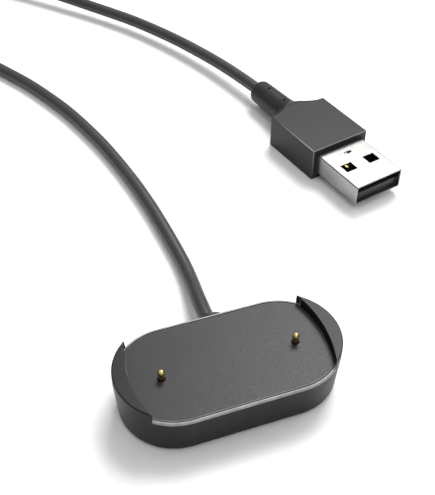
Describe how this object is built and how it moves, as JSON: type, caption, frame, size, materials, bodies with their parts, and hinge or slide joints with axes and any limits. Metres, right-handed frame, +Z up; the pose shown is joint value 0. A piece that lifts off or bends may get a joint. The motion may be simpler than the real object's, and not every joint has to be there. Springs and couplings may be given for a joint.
{
  "type": "tracker charging dock",
  "caption": "Low charging dock with curved end lips and sprung contact pins, on a thin cable with a USB plug.",
  "frame": {"origin": "under the middle of the dock, on the surface it stands on", "axes": "+X along the dock, +Y towards the side the cable leaves from, +Z up"},
  "size_m": [0.1124, 0.1812, 0.0097],
  "materials": {
    "shell_plastic": "fine moulded grain, satin",
    "tray_plastic": "fine moulded grain, satin",
    "pad_rubber": "matt",
    "board_laminate": "solder mask",
    "board_chip": "ceramic",
    "screw_steel": "zinc plated",
    "gold": "gold plated, polished",
    "spring_steel": "drawn wire",
    "magnet_nickel": "nickel plated",
    "solder": "reflowed",
    "wire_red": "extruded",
    "wire_black": "extruded",
    "cable_jacket": "extruded, satin",
    "tie_strap": "hook and loop weave",
    "grip_plastic": "fine moulded grain, satin",
    "shell_nickel": "nickel plated, finely drawn",
    "tongue_plastic": "moulded",
    "core_plastic": "moulded"
  },
  "bodies": {
    "dock": {"base_shell": "shell_plastic", "top_tray": "tray_plastic", "foot_pad": "pad_rubber", "contact_board": "board_laminate", "board_parts": "board_chip", "board_screws": "screw_steel", "pin_barrel_left": "gold", "pin_barrel_right": "gold", "pin_spring_left": "spring_steel", "pin_spring_right": "spring_steel", "magnet_left": "magnet_nickel", "magnet_right": "magnet_nickel", "pin_solder": "solder", "dock_lead_red": "wire_red", "dock_lead_black": "wire_black", "outlet_sleeve": "shell_plastic", "cable_dock_run": "cable_jacket", "cable_coil": "cable_jacket", "cable_plug_run": "cable_jacket", "coil_tie": "tie_strap", "plug_grip": "grip_plastic", "plug_relief": "grip_plastic", "plug_shell": "shell_nickel", "plug_tongue": "tongue_plastic", "contact_power": "gold", "contact_data_minus": "gold", "contact_data_plus": "gold", "contact_ground": "gold", "plug_core": "core_plastic", "plug_lead_red": "wire_red", "plug_lead_black": "wire_black"},
    "left_pin": {"pin_plunger_left": "gold"},
    "right_pin": {"pin_plunger_right": "gold"}
  },
  "joints": [
    {"name": "left_pin_press", "type": "slide", "parent": "dock", "child": "left_pin", "axis": [0, 0, -1], "range_m": [0, 0.0012], "stiffness_N_per_m": 500, "springref_m": -0.0006, "deforming": ["pin_spring_left"]},
    {"name": "right_pin_press", "type": "slide", "parent": "dock", "child": "right_pin", "axis": [0, 0, -1], "range_m": [0, 0.0012], "stiffness_N_per_m": 500, "springref_m": -0.0006, "deforming": ["pin_spring_right"]}
  ]
}
